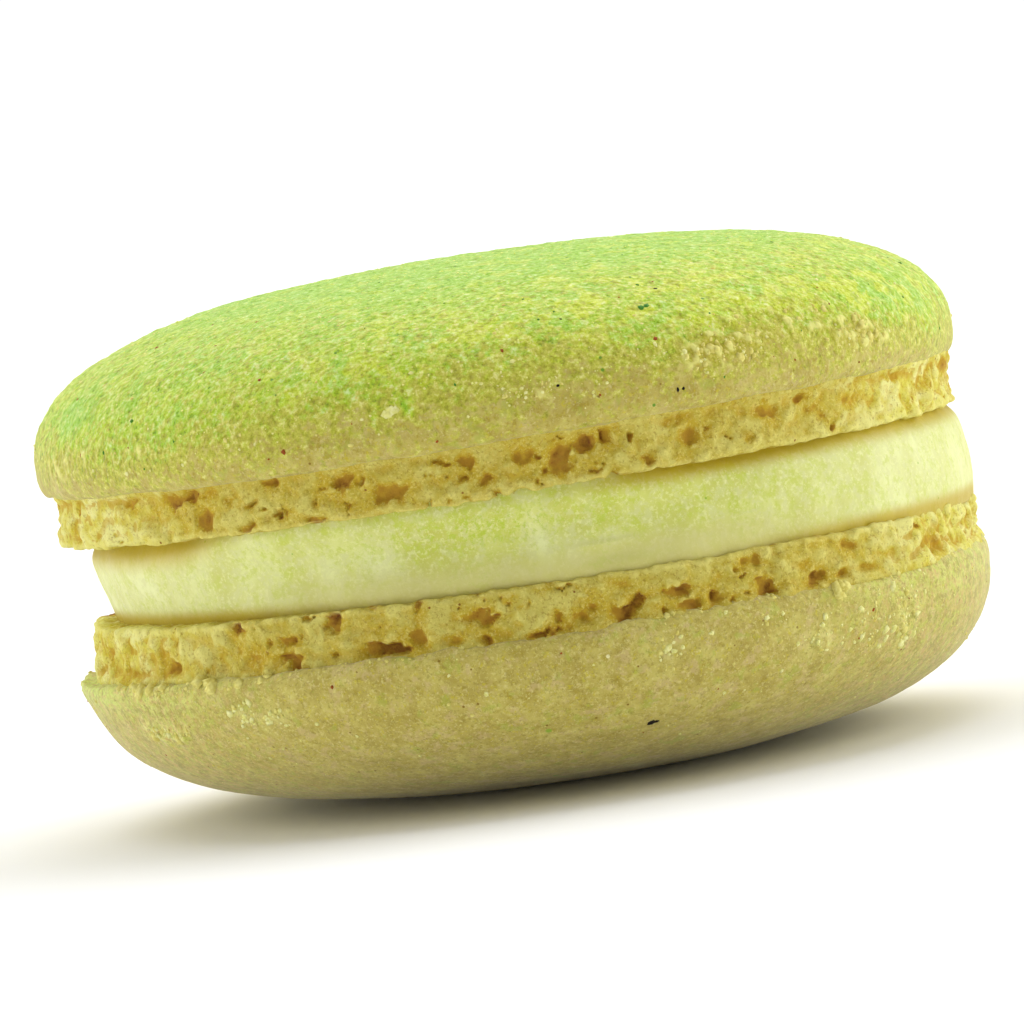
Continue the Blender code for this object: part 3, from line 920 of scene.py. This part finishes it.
# Four mixtures of powder and biscuit, each from the gaps between its grains to the grains' tops: darker in the
# gaps as painted shade and paler on the tops as painted highlight.
THIN = ((0.34, 150, 150, 34), (0.45, 182, 182, 52), (0.56, 206, 205, 80), (0.67, 234, 232, 142))
GREEN = ((0.34, 130, 164, 2), (0.44, 173, 206, 22), (0.54, 200, 220, 66), (0.66, 229, 239, 162))
LIME = ((0.34, 112, 160, 10), (0.44, 148, 202, 36), (0.54, 170, 214, 76), (0.66, 206, 232, 154))
YELLOW = ((0.34, 182, 190, 12), (0.44, 208, 218, 36), (0.54, 223, 232, 76), (0.66, 238, 242, 158))
POWDER_FLECKS = (
    (0.7, 4, 0.7, 0.53, 0.66, 0.4, (228, 232, 132)), (0.8, 4, 0.7, 0.47, 0.34, 0.45, (152, 180, 30)),
)
# Foam from its whole skin to the back of a cave, at the front and in the rounded lumps of the ends. Its stops
# turn golden and then brown towards the back of a cave as painted shade.
FRONT_FOAM = (
    (0.1, 206, 195, 98), (0.25, 198, 183, 80), (0.37, 195, 177, 66), (0.5, 194, 170, 54),
    (0.58, 190, 160, 46), (0.65, 182, 146, 42), (0.73, 172, 132, 38), (0.85, 164, 120, 36),
    (0.95, 142, 92, 28), (1.0, 112, 62, 22),
)
LUMPY_FOAM = (
    (0.1, 236, 234, 154), (0.25, 226, 221, 116), (0.38, 218, 210, 84), (0.52, 211, 196, 62),
    (0.6, 206, 182, 54), (0.67, 198, 166, 48), (0.85, 182, 142, 40), (1.0, 152, 106, 30),
)
FOAM_FLECKS = (
    (0.4, 4, 0.7, 0.53, 0.64, 0.45, (216, 205, 114)), (0.13, 3, 0.65, 0.52, 0.66, 0.6, (226, 213, 116)),
)


def biscuit_skin(look):
    """The beige-yellow of baked almond batter, mottled, with pinholes and a few darker and paler specks."""
    skin = look.flecks(look.ramp(look.noise(1.1, 4, 0.65), SKIN), SKIN_FLECKS)
    return look.dots(skin, SKIN_SPECKS)


def dusted_look():
    """Biscuit under a dusting of green powder, which is thick on the crown and thins out towards the lip. Its
    grains carry painted shade and painted highlights, and its crumbly patches painted shade between the crumbs.
    """
    look = Look("dusted_biscuit", 0.8, **BISCUIT)
    skin = biscuit_skin(look)
    grains = look.noise(0.3, 4, 0.75)
    # The same noise drives the bump, so the grains' gaps get painted shade and their tops painted highlights.
    thin, green, lime, yellow = (look.ramp(grains, stops) for stops in (THIN, GREEN, LIME, YELLOW))
    limy = look.patches(2.4, 4, 0.65, 0.46, 0.58, 0.0, 0.7)
    thick = look.mix(look.math("MAXIMUM", limy, look.range("powder", 0.85, 1.35, 0.0, 0.9)), green, lime)
    sunny = look.math("ADD", "sunny", look.patches(1.3, 4, 0.65, 0.44, 0.6, -0.5, 0.4))
    thick = look.mix(look.range(sunny, 0.0, 0.9, 0.0, 0.8), thick, yellow)
    thick = look.flecks(thick, POWDER_FLECKS)
    broken = look.math("ADD", "powder", look.patches(0.4, 3, 0.65, 0.2, 0.8, -0.45, 0.45))
    colour = look.mix(look.range(broken, -0.05, 0.45), skin, thin)
    colour = look.mix(look.range(broken, 0.45, 1.15), colour, thick)
    # Painted shade: golden between the crumbs of the crumbly patches.
    colour = look.tint(colour, "crumbly", 0.3, 1.0, 0.35, (192, 164, 52))
    colour = look.tint(colour, "crumb", 0.08, 0.4, 0.85, (238, 234, 134))
    colour = look.dots(colour, ((1.0, 0.08, 0.14, (104, 150, 30)),))
    powdery = look.math("MULTIPLY", look.grains(0.24), look.range("powder", 0.0, 0.6, 0.05, 0.4))
    return look.finish(colour, look.bump(look.math("ADD", grains, powdery), 0.125, 0.9))


def plain_look():
    """Bare biscuit, with scabs of dried batter, a little powder round its ends, and a green painted reflection
    on the lip at its left end.
    """
    look = Look("plain_biscuit", 0.75, **BISCUIT)
    scab = look.math("MULTIPLY", "scab", look.patches(0.4, 3, 0.65, 0.4, 0.55, 0.2, 0.9))
    colour = look.mix(scab, biscuit_skin(look), linear(230, 226, 134))
    powder = look.math("MULTIPLY", "dusted", look.patches(0.35, 4, 0.75, 0.42, 0.58, 0.1, 0.65))
    colour = look.mix(powder, colour, linear(212, 223, 112))
    # Brightest green where the painted reflection on the left end's lip adds to the powder.
    colour = look.tint(colour, "dusted", 1.0, 1.5, 0.5, (188, 220, 84))
    hues = look.noise(0.42, 4, 0.75)
    colour = look.tint(colour, hues, 0.52, 0.62, 0.75, (192, 200, 78), "side")
    colour = look.tint(colour, hues, 0.48, 0.38, 0.75, (206, 174, 104), "side")
    colour = look.flecks(colour, ((0.5, 4, 0.75, 0.5, 0.38, 0.75, (158, 148, 56)),), "side")
    colour = look.flecks(colour, PLAIN_FLECKS)
    colour = look.dots(colour, ((2.2, 0.14, 0.1, (150, 180, 50)),))
    return look.finish(colour, look.bump(look.noise(0.3, 3, 0.6), 0.04, 0.7))


def foot_look():
    """Baked foam: skin outside, with painted shade that makes it golden in the hollows and brown deep down, and
    painted highlights that make its lumps and rims paler.
    """
    look = Look("foot_biscuit", 0.8, Specular_IOR_Level=0.25, Subsurface_Weight=0.15, Subsurface_Scale=0.0012,
                Subsurface_Radius=SOFT)
    torn = look.math("ADD", "torn", look.patches(0.25, 4, 0.75, 0.3, 0.7, -0.07, 0.07))
    lumps = look.range("lumpy", 0.0, 1.0, 0.0, 0.85)
    colour = look.mix(lumps, look.ramp(torn, FRONT_FOAM), look.ramp(torn, LUMPY_FOAM))
    whole = look.range(torn, 0.64, 0.56)
    # Painted shade: the whole skin turns golden round the torn, sunk places.
    near = look.math("ADD", "near", look.patches(0.8, 4, 0.7, 0.3, 0.7, -0.32, 0.32))
    colour = look.tint(colour, near, 0.54, 0.85, 0.6, (193, 162, 30), whole)
    colour = look.flecks(colour, FOAM_FLECKS, whole)
    colour = look.flecks(colour, ((0.15, 3, 0.65, 0.47, 0.34, 0.55, (156, 126, 40)),))
    # Painted shade, golden in the foam's hollows, and painted highlights, paler on its lumps and along its
    # sharp outward rims.
    colour = look.tint(colour, "hollow", 0.06, 0.17, 0.72, (192, 152, 34), look.range("lumpy", 0, 1, 0.35, 1))
    colour = look.tint(colour, "hollow", 0.0, -0.1, 0.5, (234, 228, 136), look.range("lumpy", 0, 1, 0.5, 1))
    colour = look.tint(colour, "crease", -0.05, -0.22, 0.5, (232, 222, 122))
    colour = look.dots(colour, ((1.1, 0.06, 0.3, (140, 96, 34)),))
    coarse = look.bump(look.noise(0.25, 4, 0.7), 0.06, 1.0)
    return look.finish(colour, look.bump(look.noise(0.11, 3, 0.7), 0.04, 0.8, Normal=coarse))


def cream_look():
    """Buttercream: greener and duller at the front, paler towards its ends, and golden with painted shade next
    to the feet.
    """
    look = Look("buttercream", 0.5, Specular_IOR_Level=0.4, Subsurface_Weight=0.15, Subsurface_Scale=0.002,
                Subsurface_Radius=SOFT)
    blotches = look.noise(1.8, 3, 0.5, (1, 1, 1.6))
    middle = look.ramp(blotches, ((0.3, 197, 200, 86), (0.5, 206, 210, 100), (0.7, 218, 223, 122)))
    sides = look.ramp(blotches, ((0.3, 212, 214, 128), (0.5, 220, 223, 146), (0.7, 231, 235, 170)))
    colour = look.flecks(look.mix("pale", middle, sides), ((0.5, 5, 0.75, 0.46, 0.58, 0.65, (216, 218, 150)),))
    dull = look.range("pale", 0.0, 1.0, 0.8, 0.45)
    colour = look.flecks(colour, ((0.7, 5, 0.75, 0.52, 0.38, 1.0, (198, 209, 72)),), dull)
    colour = look.flecks(colour, ((0.2, 3, 0.7, 0.52, 0.64, 0.6, (232, 234, 162)),))
    colour = look.mix("low", colour, linear(212, 206, 130))
    dusty = look.math("MULTIPLY", "dust", look.patches(0.3, 4, 0.75, 0.5, 0.6))
    colour = look.tint(colour, dusty, 0.0, 1.0, 0.7, (184, 204, 40))
    colour = look.dots(colour, ((0.8, 0.06, 0.16, (150, 186, 40)),))
    # Painted shade: golden where the cream meets the feet.
    colour = look.tint(colour, "painted_shade_nook", 0.0, 1.0, 0.9, (190, 164, 16))
    return look.finish(colour, look.bump(look.noise(0.4, 4, 0.7), 0.06, 0.6))


# ---- Stage ----

TABLE_SIZE = 6000.0
EYE_DISTANCE = 295.0
EYE_HEIGHT = 29.1
AIM = (0.0, 0.0, 12.6)
LENS = 211.9  # focal length
ROLL = 8.6  # in degrees

# The sky's brightness between two heights: (height, height, brightness at the first, brightness at the second).
SKY = (0.05, 0.22, 1.05, 0.22)

# Lights: (name, where it comes from, brightness of a white surface that faces it, width in degrees).
LIGHTS = (
    ("top", (0.0, 0.5, 1.0), 0.74, 70),
    ("left", (-1.0, 0.1, 0.45), 0.44, 60),
    ("right", (1.0, 0.1, 0.45), 0.585, 60),
)


def build_stage():
    """A plain white table under a soft studio light, brightest from above and behind and from both sides."""
    look = Look("table", 0.9)
    floor_material = look.finish(linear(250, 250, 250), look.bump(look.noise(5.0, 2, 0.5), 0.01, 0.2))
    half = TABLE_SIZE / 2
    corners = np.array([[-half, -half, 0], [half, -half, 0], [half, half, 0], [-half, half, 0]])
    floor = add_mesh("table", corners, np.array([[0, 1, 2, 3]]), floor_material)
    world = bpy.data.worlds.new("studio")
    bpy.context.scene.world = world
    world.use_nodes = True
    tree = world.node_tree
    direction = tree.nodes.new("ShaderNodeTexCoord").outputs["Generated"]
    split = tree.nodes.new("ShaderNodeSeparateXYZ")
    fade = tree.nodes.new("ShaderNodeMapRange")
    for key, number in zip(("From Min", "From Max", "To Min", "To Max"), SKY):
        fade.inputs[key].default_value = number
    tree.links.new(direction, split.inputs["Vector"])
    tree.links.new(split.outputs["Z"], fade.inputs["Value"])
    tree.links.new(fade.outputs["Result"], tree.nodes["Background"].inputs["Strength"])
    tree.nodes["Background"].inputs["Color"].default_value = (1, 1, 1, 1)
    for name, come_from, brightness, width in LIGHTS:
        light = bpy.data.lights.new(name, "SUN")
        light.energy = math.pi * brightness
        light.angle = math.radians(width)
        obj = bpy.data.objects.new(name, light)
        obj.rotation_euler = (-Vector(come_from)).to_track_quat("-Z", "Y").to_euler()
        bpy.context.scene.collection.objects.link(obj)


def build_camera():
    """A long lens a little above the macaron. It is rolled, so the macaron's right end stands higher."""
    camera = bpy.data.cameras.new("camera")
    camera.lens = LENS
    camera.clip_start = 0.01
    obj = bpy.data.objects.new("camera", camera)
    eye = Vector((0, -EYE_DISTANCE, EYE_HEIGHT)) * MM
    aim = (Vector(AIM) * MM - eye).to_track_quat("-Z", "Y").to_matrix().to_4x4()
    obj.matrix_world = Matrix.Translation(eye) @ aim @ Matrix.Rotation(-math.radians(ROLL), 4, "Z")
    bpy.context.scene.collection.objects.link(obj)
    bpy.context.scene.camera = obj


# ---- The macaron ----

upper_dome = Dome(UPPER_RIM, 1, height=UPPER_DOME, roundness=2.55, shoulder=2.55, top=UPPER_DOME,
                  shift=0.0, slump=0.0, wave=0.05, relief=upper_relief)
lower_dome = Dome(LOWER_RIM, -1, height=LOWER_RIM + FLAT_LOSS, roundness=3.5, shoulder=2.0, top=LOWER_RIM,
                  shift=LOWER_DOME_SHIFT, slump=LOWER_SLUMP, wave=0.14, relief=lower_relief)


def ride(piece, node):
    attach(piece, BODY)
    if node:
        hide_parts(node)


def build_biscuits():
    dusted, plain, foot = dusted_look(), plain_look(), foot_look()
    piece = upper_dome.build("upper_dome", dusted, upper_attributes, side_spacing=0.15, crown_spacing=0.195)
    ride(piece, "top_shell")
    piece = lower_dome.build("lower_dome", plain, lower_attributes, side_spacing=0.16, crown_spacing=0.26)
    ride(piece, "bottom_shell")
    piece = build_foot("upper_foot", foot, UPPER_RIM, 1, UPPER_FOOT, UPPER_FOOT_SHIFT, UPPER_TEARS,
                       pinch=0.0, seed=21)
    ride(piece, "top_shell")
    piece = build_foot("lower_foot", foot, LOWER_RIM, -1, LOWER_FOOT, LOWER_FOOT_SHIFT, LOWER_TEARS,
                       pinch=0.25, seed=31)
    ride(piece, "bottom_shell")


# Crumbs and specks listed one by one: (angle in degrees, height over the rim, size).
BROWN_SPECKS = ((-29.8, 4.45, 0.28), (-26, 1.1, 0.3), (-7.4, 0.5, 0.22), (1.8, 4.15, 0.26), (20.3, 3.45, 0.25))
LOWER_BROWN_SPECKS = ((-25.2, 0.9, 0.25), (43.7, 1.7, 0.28))
BLACK_SPECKS = ((21.6, 1.0, 0.22), (22.3, 1.02, 0.24), (24.5, 5.75, 0.3), (10.0, 5.1, 0.22), (7.5, 2.1, 0.2))
LOWER_BLACK_SPECKS = ((12.2, 4.95, 0.5), (12.8, 4.93, 0.35))
GREEN_SPECKS = ((20.6, 5.0, 0.4), (21.4, 5.03, 0.45))
PALE_CRUMBS = (
    (-12.9, 2.1, 0.5), (-12.5, 2.02, 0.5), (-12.3, 2.2, 0.55), (-11.9, 2.14, 0.5), (-14.8, 2.1, 0.2),
    (-15.9, 2.0, 0.22), (2.7, 1.9, 0.24), (20, 3.2, 0.26),
)
LOWER_PALE_CRUMBS = ((46.3, 3.2, 0.55), (34, 2.4, 0.3), (36, 2.7, 0.28), (15.8, 1.7, 0.4), (-38.6, 1.9, 0.35))

# Groups of crumbs: (angle in degrees, height over the rim, width, tallness, count, largest size).
UPPER_PALE = (
    (4.5, 2.05, 2, 0.5, 26, 0.22), (-1, 2.2, 3, 1.2, 16, 0.2), (12, 2.2, 0.5, 1.4, 10, 0.2),
    (20, 2.9, 3, 1.2, 14, 0.2), (28, 2.4, 2.6, 0.8, 20, 0.24), (49, 2.2, 2.4, 1, 20, 0.24),
    (115, 2.4, 3, 1, 20, 0.24), (-150, 2.2, 3, 1, 20, 0.24),
)
LOWER_PALE = (
    (50, 2.4, 1.6, 1.8, 30, 0.5), (44, 2.1, 2.2, 1.4, 24, 0.42), (35, 2.4, 1.4, 1, 16, 0.4),
    (29, 1.5, 1.2, 0.8, 8, 0.3), (15.2, 1.6, 0.7, 0.9, 9, 0.34), (-39, 1.9, 0.7, 0.7, 12, 0.6),
    (-34, 2.1, 1.6, 0.5, 16, 0.46), (-54.7, 2.7, 1.6, 0.5, 14, 0.5), (120, 2.2, 1.8, 1.2, 24, 0.36),
    (-140, 1.8, 1.6, 0.8, 18, 0.34), (170, 2.6, 2.2, 1, 20, 0.34),
)
UPPER_YELLOW = (
    (27, 2.5, 2, 0.7, 26, 0.5), (31, 2.3, 1.6, 0.6, 16, 0.42), (48, 2, 2.2, 0.9, 30, 0.5),
    (38, 3.2, 4, 1, 30, 0.36), (6, 1.95, 2.2, 0.45, 22, 0.26), (-34, 1.9, 1, 0.5, 8, 0.25),
    (115, 2.4, 3, 0.8, 34, 0.5), (-150, 2.2, 2.5, 0.8, 30, 0.5), (-95, 2.3, 2, 0.7, 18, 0.4),
    (165, 2.8, 2.8, 0.9, 26, 0.45),
)
LOWER_YELLOW = (
    (50, 2.4, 1.2, 1.4, 30, 0.42), (44, 2.2, 1.6, 1.3, 18, 0.34), (35, 2.4, 1, 0.9, 14, 0.3),
    (39.4, 0.5, 0.9, 0.45, 9, 0.95), (15.2, 1.6, 0.6, 0.9, 12, 0.34), (-39, 1.9, 0.4, 0.5, 6, 0.4),
    (-34, 2.1, 1.4, 0.5, 12, 0.36), (-54.7, 2.6, 1.8, 0.6, 16, 0.65), (28, 1.4, 1, 0.8, 8, 0.26),
    (120, 2.2, 1.6, 1, 24, 0.42), (-140, 1.8, 1.4, 0.8, 16, 0.36), (170, 2.6, 2, 0.9, 20, 0.4),
    (-100, 1.5, 1.2, 0.7, 12, 0.36), (-52, 0.14, 5, 0.5, 26, 0.85), (-38, 0.1, 4, 0.35, 18, 0.75),
    (-20, 0.03, 6, 0.12, 16, 0.34), (24, 0.04, 6, 0.14, 26, 0.4), (48, 0.1, 6, 0.3, 36, 0.6),
    (110, 0.08, 9, 0.25, 46, 0.45), (-110, 0.06, 9, 0.2, 40, 0.4), (180, 0.08, 9, 0.25, 46, 0.45),
)


def build_crumbs(kind, colours, upper, lower, seed, flatness, sunk, roughness=0.6, subdivisions=1):
    """A piece of crumbs of one kind. upper and lower say where they lie on a dome, as places_on takes it."""
    look = Look(kind, roughness, Specular_IOR_Level=0.2)
    first, second = (linear(*colour) for colour in colours)
    mixed = look.mix(look.patches(0.2, 2, 0.5, 0.35, 0.65), first, second)
    material = look.finish(mixed, look.bump(look.noise(0.08, 1, 0.5), 0.02, 0.6))
    places = places_on(upper_dome, *upper)
    if lower:
        places += places_on(lower_dome, *lower)
    ride(scatter(kind + "s", material, places, seed, flatness, sunk, subdivisions), None)


def build_all_crumbs():
    """All six kinds. Each has random draws of its own: one seed for each dome and one for the piece."""
    build_crumbs("powder_grain", ((244, 244, 156), (214, 228, 84)),
                 ((), 57, 5200, (2.2, UPPER_DOME - 0.02), (0.08, 0.24)), None,
                 58, flatness=0.6, sunk=0.1, roughness=0.5, subdivisions=0)
    build_crumbs("brown_speck", ((168, 84, 24), (140, 70, 20)),
                 (BROWN_SPECKS, 41, 40, (0.6, 7.5), (0.12, 0.3)),
                 (LOWER_BROWN_SPECKS, 42, 40, (0.4, 6.0), (0.1, 0.26)), 43, flatness=0.5, sunk=0.1)
    build_crumbs("black_speck", ((18, 14, 6), (34, 26, 12)),
                 (BLACK_SPECKS, 44), (LOWER_BLACK_SPECKS, 45), 46, flatness=0.4, sunk=0.05)
    build_crumbs("pale_crumb", ((238, 236, 164), (222, 220, 126)),
                 (PALE_CRUMBS + clusters(UPPER_PALE, 60), 47, 420, (0.9, 7.6), (0.1, 0.3)),
                 (LOWER_PALE_CRUMBS + clusters(LOWER_PALE, 61), 48, 150, (0.3, 6.0), (0.1, 0.3)),
                 49, flatness=0.6, sunk=0.1, roughness=0.4)
    build_crumbs("yellow_crumb", ((230, 222, 132), (212, 200, 100)),
                 (clusters(UPPER_YELLOW, 52), 53, 130, (0.8, 6.5), (0.12, 0.34)),
                 (clusters(LOWER_YELLOW, 54), 55, 120, (0.2, 5.0), (0.1, 0.3)), 56, flatness=0.75, sunk=0.12)
    build_crumbs("green_speck", ((50, 124, 34), (84, 140, 40)),
                 (GREEN_SPECKS, 50, 60, (1.0, 7.9), (0.12, 0.3)), None, 51, flatness=0.4, sunk=0.05)


def write_sizes():
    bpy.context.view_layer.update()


build_camera()
build_stage()
build_biscuits()
ride(build_cream(cream_look()), "filling")
build_all_crumbs()
bpy.context.scene.view_settings.view_transform = "Standard"
write_sizes()
